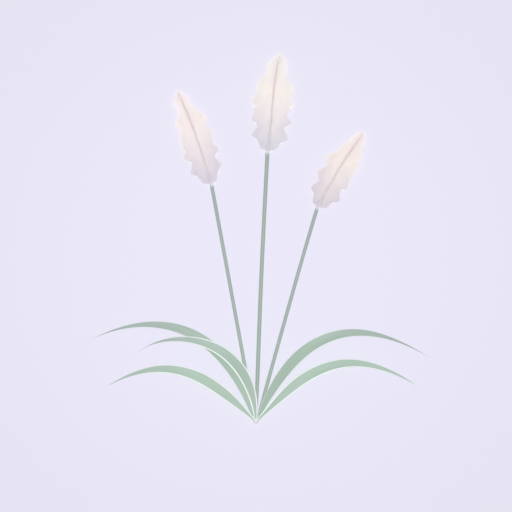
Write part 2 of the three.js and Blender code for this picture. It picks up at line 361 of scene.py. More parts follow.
# Leaves: slim blades, folded a little along the middle, with pale margins and fine veins. A leaf's
# margins are given first for the side that its roll lifts, the inside of its bend, then for the outside
leafSettings = {
    "thickness": 0.0014,
    "edgeRound": 10,
    "fold": 0.1,
    "shape": {"bellyPower": 0.64, "footShare": 0.15, "footPower": 8, "tipShare": 0.05, "leastShare": 0.02},
    "steps": 150,
    "acrossSteps": 37,
    "evenTo": 0.9,  # steps across are even as far as this, and then stand at edgeSteps
    "edgeSteps": (0.925, 0.95, 0.97, 0.985, 0.996),
    "veins": 11,
    "veinHeight": 0.00005,
    "keelHeight": 0.0005,
    "keelWidth": 0.0011,
    "waves": 3.2,
    "waveHeight": 0.0006,
    "slimRun": 0.17,  # the share of the leaf over which its foot is slimmer, by footSlim
    "marginShare": 0.6,  # the pale margin's most, of the half width at the foot
    "marginAlong": 0.4,  # and how much of that is left further along
    "footRun": 0.25,  # the share of the leaf over which the foot's margins die out
    "margin": (247, 255, 251),
    "end": (200, 200, 212),
    "places": (0.0, 0.4, 0.94, 1.0),  # of the colours foot, middle, tip and end
    "darkerShare": 0.93,
    "look": {"roughness": 0.52, "specular": 0.35, "lineScales": (34.0, 3.0), "lineShare": 0.30,
             "relief": (0.25, 0.0002)},
    "pieces": {
        "leaf_upper_left": {
            "slot": "back_leaf", "width": 0.0183, "roll": -0.16, "wave": 0.4, "footSlim": 0.15,
            "tipSlim": (0.80, 6), "margins": (0.0008, 0.0006), "footMargins": (0.0007, 0.0010),
            "foot": (181, 200, 191), "middle": (164, 184, 168), "tip": (175, 188, 187),
            "route": [(-0.0024, 0.003, 0.0119), (-0.031, 0.120, 0.046),
                      (-0.128, 0.198, 0.056), (-0.262, 0.133, 0.001)],
        },
        "leaf_inner_left": {
            "slot": "inner_leaf", "width": 0.0180, "roll": -0.14, "wave": 1.7, "footSlim": 0.32,
            "tipSlim": (1.0, 4.0), "margins": (0.0026, 0.0016), "footMargins": (0.0030, 0.0026),
            "foot": (190, 206, 198), "middle": (166, 190, 173), "tip": (186, 200, 198),
            "route": [(-0.0002, 0.003, 0.0164), (-0.0045, 0.137, 0.074),
                      (-0.131, 0.156, 0.062), (-0.187, 0.1128, 0.001)],
        },
        "leaf_low_left": {
            "slot": "front_leaf", "width": 0.0176, "roll": -0.12, "wave": 2.9, "footSlim": 0.32,
            "tipSlim": (0.60, 8), "margins": (0.0019, 0.0011), "footMargins": (0.0022, 0.0019),
            "foot": (184, 201, 192), "middle": (169, 194, 175), "tip": (181, 198, 189),
            "route": [(-0.0024, 0.0025, 0.0143), (-0.079, 0.0812, 0.046),
                      (-0.142, 0.1135, 0.040), (-0.237, 0.058, 0.001)],
        },
        "leaf_upper_right": {
            "slot": "back_leaf", "width": 0.0177, "roll": 0.16, "wave": 4.1, "footSlim": 0.32,
            "tipSlim": (0.80, 5), "margins": (0.0009, 0.0006), "footMargins": (0.0007, 0.0006),
            "foot": (169, 189, 178), "middle": (163, 187, 168), "tip": (174, 184, 185),
            "route": [(0.0024, 0.003, 0.0119), (0.053, 0.128, 0.046),
                      (0.139, 0.189, 0.058), (0.2758, 0.1043, 0.001)],
        },
        "leaf_low_right": {
            "slot": "front_leaf", "width": 0.0172, "roll": 0.12, "wave": 5.3, "footSlim": 0.32,
            "tipSlim": (0.75, 8), "margins": (0.0018, 0.0011), "footMargins": (0.0022, 0.0030),
            "foot": (184, 201, 193), "middle": (167, 193, 174), "tip": (186, 202, 196),
            "route": [(0.0024, 0.0025, 0.0143), (0.059, 0.063, 0.044),
                      (0.1292, 0.1442, 0.042), (0.2599, 0.0563, 0.001)],
        },
    },
}


# Share of the full width along a leaf: a narrow foot, the widest place before the middle, a long tip
def leafShare(along, shape, tipSlim, footSlim, slimRun):
    belly = shape["tipShare"] + (1 - shape["tipShare"]) * np.sin(math.pi * along ** shape["bellyPower"])
    belly = np.maximum(belly * (1 - tipSlim[0] * along ** tipSlim[1]), shape["leastShare"])
    full = belly + shape["footShare"] * (1 - along) ** shape["footPower"]
    return full * (1 - footSlim * np.exp(-(along / slimRun) ** 2))


# How wide the pale margins are, at every point
def leafMargins(shares, across, halfWidth, leaf, settings):
    atFoot = np.exp(-(shares / settings["footRun"]) ** 2)
    along = settings["marginAlong"]
    most = settings["marginShare"] * halfWidth * (along + (1 - along) * atFoot)
    inner, outer = [np.minimum(width + (footWidth - width) * atFoot, most)[:, None]
                   for width, footWidth in zip(leaf["margins"], leaf["footMargins"])]
    return outer + (inner - outer) * (across * leaf["roll"] > 0)


# How high points lie over the blade's middle line. The blade is half as thick at its edges, with veins on
# top and a keel below, and it is rolled, folded and a little wavy
def leafHeights(shares, across, topside, reach, leaf, settings):
    belly = np.sin(math.pi * shares)[:, None]
    rounded = np.sqrt(np.clip(1 - across ** settings["edgeRound"], 0, 1))
    half = 0.25 * settings["thickness"] * (2 - np.abs(across)) * rounded
    vein = settings["veinHeight"] * np.cos(math.pi * settings["veins"] * across) * rounded * (topside > 0)
    keel = settings["keelHeight"] * np.exp(-(reach / settings["keelWidth"]) ** 2) * (topside < 0)
    wave = np.sin(2 * math.pi * settings["waves"] * shares + leaf["wave"])[:, None] * np.abs(across) ** 3
    height = topside * half + vein - keel * belly + leaf["roll"] * belly * reach
    return height + settings["fold"] * np.abs(reach) * belly + settings["waveHeight"] * wave * belly


def leafFinish(name, leaf, settings):
    finish = Finish(name, settings["look"])
    along = finish.mark("along")
    colours = (leaf["foot"], leaf["middle"], leaf["tip"], settings["end"])
    darker = paintFor(shaded(leaf["middle"], settings["darkerShare"]))
    green = finish.band(along, zip(settings["places"], colours))
    green = finish.lined(green, darker, finish.mark("across"), along)
    pale = finish.ranged(finish.mark("edge"), 1.0, 0.6)
    finish.colour(finish.mixed(pale, green, paintFor(settings["margin"])))
    return finish.material


def growLeaf(name, leaf, settings):
    shares = np.linspace(0, 1, settings["steps"] + 1)
    places, _, side, lift, _ = alongRoute(leaf["route"], shares)
    middle = np.linspace(-settings["evenTo"], settings["evenTo"], settings["acrossSteps"])
    edges = np.array([*settings["edgeSteps"], 1.0])
    upper = np.concatenate([-edges[::-1], middle, edges])
    lower = upper[-2:0:-2]  # fewer points under the blade
    across = np.concatenate([upper, lower])
    topside = np.repeat([1.0, -1.0], [len(upper), len(lower)])
    slims = leaf["tipSlim"], leaf["footSlim"], settings["slimRun"]
    halfWidth = 0.5 * leaf["width"] * leafShare(shares, settings["shape"], *slims)
    reach = halfWidth[:, None] * across
    height = leafHeights(shares, across, topside, reach, leaf, settings)
    points = places[:, None] + reach[..., None] * side[:, None] + height[..., None] * lift[:, None]
    points[..., 2] = np.maximum(points[..., 2], 0.0)
    fromEdge = halfWidth[:, None] * (1 - np.abs(across))
    marks = {
        "along": np.repeat(shares, len(across)),
        "across": np.tile(across, len(shares)),
        "edge": (fromEdge / leafMargins(shares, across, halfWidth, leaf, settings)).ravel(),
    }
    blade = leafFinish(name + "_blade", leaf, settings)
    hangOn(addBar(name + "_blade", points, blade, marks), name)


for leafName, leaf in leafSettings["pieces"].items():
    growLeaf(leafName, leaf, leafSettings)
print("stage: leaves", len(leafSettings["pieces"]))


# Stems: round, finely ridged, with two faint joints
stemSettings = {
    "sides": 48,
    "steps": 170,
    "rootRadius": 0.0019,
    "swellShare": 0.16,
    "ridges": 12,
    "ridgeShare": 0.018,
    "joints": (0.36, 0.68),
    "jointShare": 0.07,
    "jointLength": 0.0016,
    "jointPale": (1.09, 0.5),  # how much paler a joint is, and how much that shows
    # painted light: the stem's sides are painted paler, to make up for the shade that falls on a round
    # stem's sides
    "paintedFlankLight": (198, 211, 205),
    "paintedFlankLightShare": 0.75,
    "collar": (238, 236, 244),
    "places": (0.0, 0.993, 0.997),  # of the colours low, high and collar
    "darkerShare": 0.93,
    "look": {"roughness": 0.55, "specular": 0.25, "lineScales": (26.0, 9.0), "lineShare": 0.35,
             "relief": (0.25, 0.0002)},
    "pieces": {
        "culm_left": {
            "radius": 0.0028, "low": (170, 192, 178), "high": (168, 179, 178),
            "route": [(-0.0024, 0.004, 0.0036), (-0.021, 0.107, 0.0032),
                      (-0.053, 0.283, 0.008), (-0.0709, 0.3784, 0.012)],
        },
        "culm_middle": {
            "radius": 0.0031, "low": (167, 186, 174), "high": (168, 184, 175),
            "route": [(0.0, 0.004, 0.0082), (0.0075, 0.220, 0.006),
                      (0.0085, 0.243, 0.010), (0.0183, 0.4304, 0.012)],
        },
        "culm_right": {
            "radius": 0.0028, "low": (169, 187, 177), "high": (170, 181, 180),
            "route": [(0.0024, 0.004, 0.0036), (0.030, 0.105, 0.0032),
                      (0.0734, 0.2626, 0.008), (0.0975, 0.3412, 0.012)],
        },
    },
}


def stemFinish(name, stem, settings):
    finish = Finish(name, settings["look"])
    along = finish.mark("along")
    colours = (stem["low"], stem["high"], settings["collar"])
    darker = paintFor(shaded(stem["low"], settings["darkerShare"]))
    # painted light: paler paint towards the stem's sides, against their shade
    paintedFlankLight = finish.ranged(finish.mark("paintedFlankLight"), 0.45, 1.0, 0.0, settings["paintedFlankLightShare"])
    green = finish.band(along, zip(settings["places"], colours))
    green = finish.mixed(paintedFlankLight, green, paintFor(settings["paintedFlankLight"]))
    green = finish.lined(green, darker, finish.mark("turn"), along)
    paler, share = settings["jointPale"]
    joint = finish.ranged(finish.mark("joint"), 0.0, 1.0, 0.0, share)
    finish.colour(finish.mixed(joint, green, paintFor(shaded(stem["high"], paler))))
    return finish.material


def growStem(name, stem, settings):
    shares = np.linspace(0, 1, settings["steps"] + 1)
    places, _, side, lift, length = alongRoute(stem["route"], shares)
    turns = turnsRound(settings["sides"])
    swell = np.minimum(1, shares / settings["swellShare"])
    radius = settings["rootRadius"] + (stem["radius"] - settings["rootRadius"]) * swell
    joint = sum(np.exp(-((shares - place) * length / settings["jointLength"]) ** 2)
                for place in settings["joints"])
    radius = (radius * (1 + settings["jointShare"] * joint))[:, None]
    radius = radius * (1 + settings["ridgeShare"] * np.cos(settings["ridges"] * turns))
    points = roundBar(places, side, lift, turns, radius)
    points[..., 2] = np.maximum(points[..., 2], 0.0)
    marks = barMarks(shares, turns)
    marks["joint"] = np.repeat(joint, len(turns))
    # where the painted light goes: 0 on the stem's crest and underside, 1 on its sides
    marks["paintedFlankLight"] = np.tile(np.abs(np.sin(turns)), len(shares))
    green = stemFinish(name + "_stem", stem, settings)
    hangOn(addBar(name + "_stem", points, green, marks), name)


for stemName, stem in stemSettings["pieces"].items():
    growStem(stemName, stem, stemSettings)
print("stage: stems", len(stemSettings["pieces"]))


# Plumes: the rib of each, and its outline on both sides as (place along the rib, reach from it), in
# millimetres
plumeSettings = {
    "pieces": {
        "left": {
            "rib": [(-0.071, 0.379, 0.012), (-0.095, 0.456, 0.024),
                    (-0.093, 0.455, 0.024), (-0.126, 0.531, 0.006)],
            "tint": (0, 0, 0),
            "leftOutline": [
                (0, 4), (2, 5), (5, 9.3), (8, 13), (20.5, 17.8), (23.5, 23.5), (28, 27.8), (37, 22.2),
                (44, 18.8), (48, 24), (52.5, 30), (59.5, 28.2), (62, 27), (64.5, 22.5), (67, 27.5),
                (72, 27.5), (76, 24.8), (80, 28.5), (83, 25.6), (91, 25.4), (97, 24), (102, 19.5),
                (109, 24.8), (115, 23.5), (118, 22), (121, 17), (131.5, 12), (136, 12), (141, 15.2),
                (147, 15.4), (152, 11.5), (158.5, 6),
            ],
            "rightOutline": [
                (0, 4), (2, 5.5), (5, 9), (8, 11.8), (17.5, 15.4), (24, 23), (28, 27.1), (40, 18),
                (45, 18.8), (49, 27.2), (53.5, 29), (64, 21.2), (72, 24), (77.5, 27), (85, 26), (91, 21),
                (97, 20.6), (102, 26), (106, 25.5), (115, 22.2), (122.5, 16), (133, 13), (142, 10),
                (147, 12.5), (152, 9), (158.5, 6),
            ],
        },
        "middle": {
            "rib": [(0.019, 0.431, 0.012), (0.028, 0.510, 0.026),
                    (0.027, 0.552, 0.024), (0.040, 0.591, 0.006)],
            "tint": (0, 3, 1),
            "leftOutline": [
                (0, 4), (2, 5.5), (5, 10.7), (8, 13.8), (17.5, 17.4), (25, 30), (31, 27.3), (40, 21),
                (46, 23.5), (49.5, 32), (57, 31), (66, 27.5), (69.5, 33), (73, 24.6), (76, 34.6), (80, 33),
                (88, 34.5), (90.5, 27), (98, 26.4), (104, 27.6), (112, 26), (119.5, 20.8), (124, 16.2),
                (133, 15.8), (142, 15.6), (149.5, 12.3), (158.5, 5.5),
            ],
            "rightOutline": [
                (0, 4), (2, 4.6), (5, 8.7), (8, 12.6), (10, 14.8), (17.5, 17.8), (22, 27), (25, 30),
                (29.5, 28.9), (40, 21.2), (43, 23), (49, 33.2), (54, 33.5), (58, 27), (65, 24.6),
                (73, 30.8), (76, 25.2), (79, 36.4), (86, 30.6), (94, 27.4), (103, 31), (110.5, 29.5),
                (113.5, 27.6), (118, 21.2), (126, 18.8), (133, 15.4), (137.5, 17.4), (145, 14.9), (154, 12),
                (158.5, 8),
            ],
        },
        "right": {
            "rib": [(0.097, 0.342, 0.012), (0.133, 0.405, 0.024),
                    (0.131, 0.406, 0.024), (0.174, 0.465, 0.006)],
            "tint": (-1, -1, -3),
            "leftOutline": [
                (0, 4), (2, 5), (5, 9.8), (8, 12), (16, 14.2), (20, 18.4), (25, 26), (31, 24), (36, 19.8),
                (41.5, 18.6), (49, 25), (54, 29.8), (60, 24), (68.5, 19), (80.5, 29.3), (87, 25),
                (94, 17.2), (101, 17), (109, 17.8), (118, 13.2), (122, 9.8), (127, 13.4), (132, 8.4),
                (138, 8.5), (142, 6.5),
            ],
            "rightOutline": [
                (0, 4), (2, 5), (5, 8.5), (8, 12.6), (10, 14.6), (19, 16.4), (28, 27.4), (35, 23),
                (43, 18.9), (47.5, 20.2), (52, 29.2), (56, 26), (62, 25.2), (70, 22.8), (76, 23.9),
                (79.5, 29), (82, 24.2), (88, 24), (91, 25.3), (100, 18.4), (106, 21.8), (115, 17),
                (119, 14.2), (125.5, 11), (131.5, 11), (137, 8.4), (140, 5), (142, 3),
            ],
        },
    },
    "tipReach": 0.002,
    "ribPlaces": 301,
    "edgePlaces": 700,
    "evenOver": 0.022,  # the dome and the core follow the outline evened out over this length
    "domePower": 2.2,
    "layers": [  # crest first: depth under the rib, and height at the outline
        {"drop": 0.0008, "rimHeight": 0.0070, "sweep": 0.032, "hairs": 6},
        {"drop": 0.0030, "rimHeight": 0.0048, "sweep": 0.029, "hairs": 3},
        {"drop": 0.0090, "rimHeight": 0.0024, "sweep": 0.024, "hairs": 2},
    ],
    "tipSpacing": 0.0036,
    "tipScatter": 0.001,
    "tipInset": (0.0020, 0.0040),
    "leastReach": 0.0012,
    "endClear": 0.002,
    "lowestRoot": 0.004,
    "leastLength": 0.0005,
    "rootAside": 0.0018,
    "bend": (0.4, 0.6),  # where a raceme bends, as shares of its way along and out
    "stations": 8,
    "sizes": (0.85, 1.15),  # how sizes differ
    "threadDrop": 0.0004,
    "threadWidths": (0.00034, 0.00018),
    # A make says where a needle is widest, how flat it is and how many sides it has
    "spikelets": {"spacing": 0.0050, "length": 0.0052, "least": 0.0020, "halfWidth": 0.00062, "sway": 0.28,
                  "rootDrop": 0.0006, "tipDrop": 0.0002, "tones": (0.3, 0.7), "make": (0.42, 0.7, 5)},
    "hairs": {"length": 0.0080, "lengths": (0.7, 1.1), "halfWidth": 0.00019, "widths": (0.8, 1.2),
              "spread": 0.20, "rootDrop": 0.0005, "lift": 0.0008, "past": (-0.0010, 0.0006),
              "shorter": 0.78, "tries": 7, "ribClear": 0.0016, "make": (0.4, 0.16, 3)},
    "silk": {"spacing": 0.0009, "angles": (0.86, 0.50), "tipClear": 0.004, "edgeClear": 0.002,
             "footRun": 0.02, "footTurn": 0.5},
    "fringe": {"spacing": 0.00007, "length": (0.0040, 0.0070), "angle": 0.75, "spread": 0.2,
               "rootInside": 0.0016, "rootDrop": 0.0003, "turnBack": 0.25, "tries": 4,
               "tipInside": 0.0008, "past": 0.0030, "pastPower": 1.6, "levels": (0.25, 1)},
    "core": {"share": 0.84, "inset": 0.0024, "depth": 0.0010, "start": 0.0005, "end": 0.007, "steps": 90,
             "sides": 48, "roundSteps": (2, 7), "leastEnd": 0.02, "leastInset": 0.4, "flankPower": 0.4,
             "tone": 0.6},
    "places": (0.015, 0.035, 0.13, 0.22, 0.34, 0.46, 0.6, 0.8, 0.95),  # of the next two rows
    "inner": [(236, 234, 243), (219, 215, 226), (225, 219, 229), (234, 225, 231),
              (240, 231, 235), (243, 232, 235), (247, 234, 235), (242, 229, 229), (239, 229, 231)],
    "outer": [(236, 234, 243), (215, 206, 221), (220, 213, 225), (221, 213, 225),
              (228, 219, 228), (236, 228, 233), (243, 236, 236), (247, 240, 244), (245, 237, 247)],
    # partly painted light: the pale tips are whiter hair ends, and they also make up for the shade where the
    # plume drops steeply at its outline
    "tips": [(0.5, (250, 247, 254)), (0.8, (246, 240, 251))],
    # painted light: the outer gain paints the outer hairs paler than the inner ones, to make up for the
    # shade on the plume's sloping sides
    "gains": {"inner": 0.968, "outer": 0.994, "tips": 1.01},
    "tipWidth": 0.0012,
    "shade": (205, 196, 205),
    "shadeShare": 0.10,
    "look": {"roughness": 0.7, "specular": 0.2},
}


# The place at shares t of a curve that starts, bends and ends at these numbers
def bentCurve(start, bend, end, t):
    return (1 - t) ** 2 * start + 2 * t * (1 - t) * bend + t ** 2 * end


# What the racemes, the core and the finish ask of a plume. Places in it are along its rib and across it
class PlumeForm:
    def __init__(self, spec, settings):
        self.power = settings["domePower"]
        self.shares = np.linspace(0, 1, settings["ribPlaces"])
        self.places, self.forward, self.side, self.lift, self.length = alongRoute(spec["rib"], self.shares)
        self.alongs = np.linspace(0, self.length, settings["edgePlaces"])
        self.outline, self.evened, self.edgeRun = {}, {}, {}
        for side, knots in ((-1, spec["leftOutline"]), (1, spec["rightOutline"])):
            places, reaches = np.array(knots).T * millimetre
            edge = np.interp(self.alongs, [*places, self.length], [*reaches, settings["tipReach"]])
            wide = int(settings["evenOver"] / self.length * len(edge)) // 2
            window = np.ones(2 * wide + 1) / (2 * wide + 1)
            self.outline[side] = edge
            self.evened[side] = np.convolve(np.pad(edge, wide, mode="edge"), window, mode="valid")
            steps = np.hypot(np.diff(self.alongs), np.diff(edge))
            self.edgeRun[side] = np.concatenate(([0], np.cumsum(steps)))

    def read(self, table, along):
        share = np.clip(along / self.length, 0, 1)
        return np.stack([np.interp(share, self.shares, table[:, k]) for k in range(3)], -1)

    # A place at a height, also a little past either end
    def beside(self, along, across, height):
        past = along - np.clip(along, 0, self.length)
        place = self.read(self.places, along) + np.asarray(across)[..., None] * self.read(self.side, along)
        place = place + past[..., None] * self.read(self.forward, along)
        place[..., 2] = np.maximum(height, lowestPlace)
        return place

    def reach(self, along, side, evenly=False):
        return np.interp(along, self.alongs, (self.evened if evenly else self.outline)[side])

    # Height of a layer: highest beside the rib, lower towards the outline
    def dome(self, along, out, side, layer):
        share = np.clip(out / self.reach(along, side, True), 0, 1)
        top = self.read(self.places, along)[..., 2] - layer["drop"]
        rim = np.minimum(layer["rimHeight"], top)
        return rim + (top - rim) * (1 - share ** self.power)

    # How far out places lie: 0 at the rib, 1 on the outline
    def outShare(self, along, out, side):
        return np.clip(out / self.reach(along, side), 0, 1)

    # How far inside the outline places lie: 0 on it, more towards the rib
    def inside(self, along, out, side):
        past = np.abs(along - np.clip(along, 0, self.length))
        return self.reach(along, side) - out - past


# Points, faces and marks of many small shapes, gathered for one mesh
class Pile:
    def __init__(self, form, tipWidth):
        self.form = form
        self.tipWidth = tipWidth
        self.parts = []
        self.total = 0

    # Small shapes that all have the same faces, with their points in rows by shape
    def add(self, points, faces, along, out, side, tone):
        points = points.reshape(len(points), -1, 3)
        starts = self.total + points.shape[1] * np.arange(len(points))
        faces = (np.array(faces)[None] + starts[:, None, None]).reshape(-1, 3)
        # how near the outline a point lies, for the pale tips: whiter hair ends and, partly, painted light
        # against the shade at the steep outline
        tip = np.clip(0.3 - self.form.inside(along, out, side) / self.tipWidth, 0, 1)
        outShare = self.form.outShare(along, out, side)
        self.parts.append((points.reshape(-1, 3), faces, along, outShare, tip, tone))
        self.total += starts.size * points.shape[1]

    def gathered(self):
        return [np.concatenate(column) for column in zip(*self.parts)]


# Places round a thin thread or needle, the first on its crest
def thinRing(middle, halfWidths, side, lift, sides):
    turns = 2 * math.pi * np.arange(sides) / sides + math.pi / 2
    return [middle + halfWidths * (math.cos(turn) * side + math.sin(turn) * lift) for turn in turns]


# The places this far from others in a plume, at an angle to its rib
def stepFrom(along, out, angle, size):
    return along + np.cos(angle) * size, out + np.sin(angle) * size


# A needle's end, kept clear of the rib, as along, out and height over a layer
def clearTip(form, side, layer, place, ribClear, lift):
    along, out = place[0], np.maximum(place[1], ribClear)
    return along, out, form.dome(along, out, side, layer) + lift


# Needles laid in a plume between places given as along, out and height: a point at both ends and a ring
# between them. Hairs and spikelets are both made so
def layNeedles(pile, side, root, tip, halfWidths, make, tone):
    waistShare, flat, sides = make
    roots, tips = [pile.form.beside(along, side * out, height) for along, out, height in (root, tip)]
    _, across, lift = directionsOf(tips - roots)
    waist = roots + waistShare * (tips - roots)
    ring = thinRing(waist, halfWidths[:, None], across, lift * flat, sides)
    points = np.stack([roots, *ring, tips], 1)
    points[..., 2] = np.maximum(points[..., 2], lowestNeedle)
    faces = []
    for k in range(sides):
        a, b = 1 + k, 1 + (k + 1) % sides
        faces += [(0, a, b), (sides + 1, b, a)]
    shares = np.array([0.0] + [waistShare] * sides + [1.0])
    along, out = [(a[:, None] + (b - a)[:, None] * shares).ravel() for a, b in zip(root[:2], tip[:2])]
    pile.add(points, faces, along, out, side, np.repeat(tone, sides + 2))


# Thin threads laid in a plume through given stations: three sides each, closed at both ends
def layThreads(pile, side, along, out, height, halfWidths):
    stations = pile.form.beside(along, side * out, height)
    _, across, lift = directionsOf(np.gradient(stations, axis=1))
    points = np.stack(thinRing(stations, halfWidths[:, None], across, lift, 3), 2)
    last = 3 * (len(halfWidths) - 1)
    faces = [(0, 1, 2)]
    for ring in range(0, last, 3):
        for k in range(3):
            a, b = ring + k, ring + (k + 1) % 3
            faces += [(a, b + 3, b), (a, a + 3, b + 3)]
    faces.append((last, last + 2, last + 1))
    pile.add(points, faces, np.repeat(along, 3), np.repeat(out, 3), side, np.full(points.size // 3, 0.5))


# Courses of the racemes on one side of a layer: start, bend and end, along the rib and out from it
def racemeCourses(form, side, layer, settings, draw):
    run, scatter, clear = form.edgeRun[side], settings["tipScatter"], settings["endClear"]
    places = np.arange(scatter, run[-1], settings["tipSpacing"])
    places = places + draw.uniform(-scatter, scatter, len(places))
    ends = np.clip(np.interp(places, run, form.alongs), clear, form.length - clear)
    reach = form.reach(ends, side) - draw.uniform(*settings["tipInset"], len(ends))
    reach = np.maximum(reach, settings["leastReach"])
    starts = ends - layer["sweep"] * draw.uniform(*settings["sizes"], len(ends))
    starts = np.maximum(settings["lowestRoot"] * draw.uniform(0.3, 1, len(ends)), starts)
    starts = np.minimum(starts, ends - settings["leastLength"])
    aside = np.minimum(settings["rootAside"], 0.5 * reach)
    bendAlong, bendOut = settings["bend"]
    return (starts, starts + bendAlong * (ends - starts), ends), (aside, bendOut * reach, reach)


# One layer of racemes: on each a thread, spikelets to both sides of it, and the spikelets' silky hairs
def growLayer(pile, side, layer, settings, draw):
    form, spikelets, hairs = pile.form, settings["spikelets"], settings["hairs"]
    alongs, outs = racemeCourses(form, side, layer, settings, draw)
    t = np.linspace(0, 1, settings["stations"])
    along, out = [bentCurve(*[knot[:, None] for knot in knots], t) for knots in (alongs, outs)]
    height = form.dome(along, out, side, layer) - settings["threadDrop"]
    layThreads(pile, side, along, out, height, np.linspace(*settings["threadWidths"], len(t)))

    lengths = np.hypot(np.diff(along), np.diff(out)).sum(1)
    counts = np.maximum(2, np.round(lengths / spikelets["spacing"])).astype(int)
    raceme = np.repeat(np.arange(len(counts)), counts)
    order = np.arange(len(raceme)) - np.repeat(np.cumsum(counts) - counts, counts)
    t = (order + 0.6) / (counts[raceme] + 0.3)
    along, out = [bentCurve(*[knot[raceme] for knot in knots], t) for knots in (alongs, outs)]
    ahead = [(1 - t) * (bend - start)[raceme] + t * (end - bend)[raceme]
             for start, bend, end in (alongs, outs)]
    angle = np.arctan2(ahead[1], ahead[0])
    height = form.dome(along, out, side, layer)

    turned = angle + np.where(order % 2 == 0, 1, -1) * spikelets["sway"]
    size = spikelets["length"] * draw.uniform(*settings["sizes"], len(t))
    room = form.inside(*stepFrom(along, out, turned, size), side) + size
    size = np.clip(room, spikelets["least"], size)
    half = spikelets["halfWidth"] * draw.uniform(*settings["sizes"], len(t))
    tip = stepFrom(along, out, turned, size)
    tip = clearTip(form, side, layer, tip, hairs["ribClear"], -spikelets["tipDrop"])
    root = (along, out, height - spikelets["rootDrop"])
    layNeedles(pile, side, root, tip, half, spikelets["make"], draw.uniform(*spikelets["tones"], len(t)))

    along, out, angle = [np.repeat(values, layer["hairs"]) for values in (along, out, angle)]
    ahead = draw.uniform(0, spikelets["spacing"], len(angle)) - 0.5 * spikelets["spacing"]
    along, out = stepFrom(along, out, angle, ahead)
    along = np.maximum(along, 0.0005)
    out = np.maximum(out, 0.5 * hairs["ribClear"])
    growHairs(pile, side, layer, along, out, angle, settings, draw)


# Hairs from roots to tips, as needles
def layHairs(pile, side, root, tip, hairs, draw):
    half = hairs["halfWidth"] * draw.uniform(*hairs["widths"], len(root[0]))
    layNeedles(pile, side, root, tip, half, hairs["make"], draw.uniform(0, 1, len(root[0])))


# Fine hairs that lie along a layer from the given places, and end inside the outline or just past it
def growHairs(pile, side, layer, along, out, angle, settings, draw):
    form, hairs = pile.form, settings["hairs"]
    angle = angle + draw.normal(0, hairs["spread"], len(angle))
    size = hairs["length"] * draw.uniform(*hairs["lengths"], len(angle))
    past = draw.uniform(*hairs["past"], len(angle))
    for _ in range(hairs["tries"]):
        over = form.inside(*stepFrom(along, out, angle, size), side) < -past
        size = np.where(over, hairs["shorter"] * size, size)
    lift = draw.uniform(0, hairs["lift"], len(angle))
    tip = clearTip(form, side, layer, stepFrom(along, out, angle, size), hairs["ribClear"], lift)
    height = form.dome(along, out, side, layer) - hairs["rootDrop"] + 0.5 * lift
    layHairs(pile, side, (along, out, height), tip, hairs, draw)


# Silky hairs spread evenly over the crest layer, which lie as its racemes do
def growSilk(pile, side, settings, draw):
    form, silk, ribClear = pile.form, settings["silk"], settings["hairs"]["ribClear"]
    cells = []
    for along in np.arange(0.0, form.length - silk["tipClear"], silk["spacing"]):
        width = form.reach(along, side) - ribClear - silk["edgeClear"]
        for k in range(max(1, int(width / silk["spacing"]))):
            cells.append((along, ribClear + (k + 0.5) * silk["spacing"]))
    along, out = np.array(cells).T + draw.uniform(-0.5, 0.5, (2, len(cells))) * silk["spacing"]
    along = np.maximum(along, 0.0)
    share = np.clip(out / form.reach(along, side), 0, 1)
    first, last = silk["angles"]
    angle = first + (last - first) * share
    turned = angle + silk["footTurn"] * share * (1 - along / silk["footRun"])
    angle = np.where(along < silk["footRun"], turned, angle)
    growHairs(pile, side, settings["layers"][0], along, out, angle, settings, draw)


# Short pale hairs that end on the outline, all the way round. Their paleness is partly painted light
def growFringe(pile, side, settings, draw):
    form, fringe, top = pile.form, settings["fringe"], settings["layers"][0]
    run = form.edgeRun[side]
    count = int(run[-1] / fringe["spacing"])
    tipAlong = np.interp(draw.uniform(0, run[-1], count), run, form.alongs)
    past = fringe["past"] * draw.uniform(0, 1, count) ** fringe["pastPower"]
    tipOut = form.reach(tipAlong, side) - fringe["tipInside"] + past
    angle = draw.normal(fringe["angle"], fringe["spread"], count)
    size = draw.uniform(*fringe["length"], count)
    for _ in range(fringe["tries"]):
        inside = form.inside(*stepFrom(tipAlong, tipOut, angle, -size), side)
        angle = np.where(inside < fringe["rootInside"], angle + fringe["turnBack"], angle)
    rootAlong, rootOut = np.maximum(stepFrom(tipAlong, tipOut, angle, -size), 0.0)
    level = draw.uniform(*fringe["levels"], count)
    rootHeight = level * form.dome(rootAlong, rootOut, side, top) - fringe["rootDrop"]
    tipHeight = level * form.dome(tipAlong, tipOut, side, top)
    root, tip = (rootAlong, rootOut, rootHeight), (tipAlong, tipOut, tipHeight)
    layHairs(pile, side, root, tip, settings["hairs"], draw)


# The felted middle of a plume, flat underneath, that its racemes stand out of
def makeCore(form, settings):
    core, top = settings["core"], settings["layers"][0]
    along = np.linspace(core["start"], form.length - core["end"], core["steps"])
    steps = np.arange(core["steps"])
    footSteps, tipSteps = core["roundSteps"]
    ends = np.minimum((steps + 0.5) / footSteps, steps[::-1] / tipSteps)
    ends = np.sqrt(np.clip(ends, core["leastEnd"], 1))
    rings, outs = [], []
    for angle in turnsRound(core["sides"]):
        side = 1 if math.sin(angle) > 0 else -1
        reach = form.reach(along, side)
        inset = np.minimum(core["inset"], core["leastInset"] * reach)
        widest = np.minimum(core["share"] * form.reach(along, side, True), reach - inset)
        out = abs(math.sin(angle)) * widest * ends
        height = (form.dome(along, out, side, top) - core["depth"]) * ends
        height = height * max(math.cos(angle), 0) ** core["flankPower"]
        rings.append(form.beside(along, side * out, height))
        outs.append(form.outShare(along, out, side))
    return np.stack(rings, 1), np.repeat(along, core["sides"]), np.stack(outs, 1).ravel()


